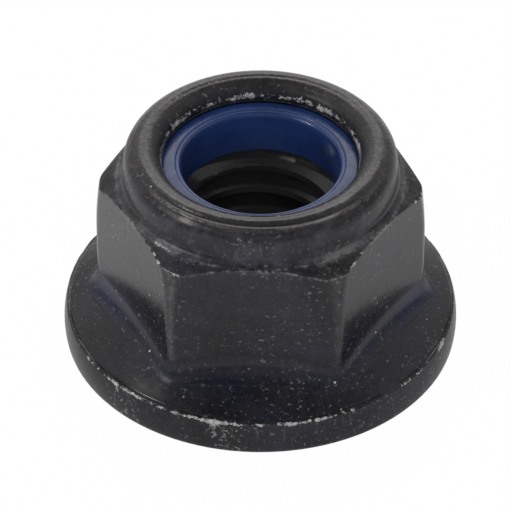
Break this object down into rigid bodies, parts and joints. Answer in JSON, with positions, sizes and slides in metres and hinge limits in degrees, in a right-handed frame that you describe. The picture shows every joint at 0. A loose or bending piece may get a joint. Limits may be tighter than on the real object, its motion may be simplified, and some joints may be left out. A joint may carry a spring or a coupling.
{
  "type": "flange lock nut",
  "caption": "Hexagon nut with a round bearing flange and a rolled collar that traps a blue nylon ring, which grips the bolt's thread so the nut stays tight.",
  "frame": {"origin": "centre of the bearing face", "axes": "+Z along the thread's axis, from the bearing face to the collar; -Y out of the middle of a flat"},
  "size_m": [0.0178, 0.0178, 0.0105],
  "materials": {
    "black_steel": "thin black coating, satin, chipped on the edges",
    "blue_nylon": "smooth moulded nylon"
  },
  "bodies": {
    "root": {"nut_body": "black_steel", "locking_ring": "blue_nylon"}
  },
  "joints": []
}
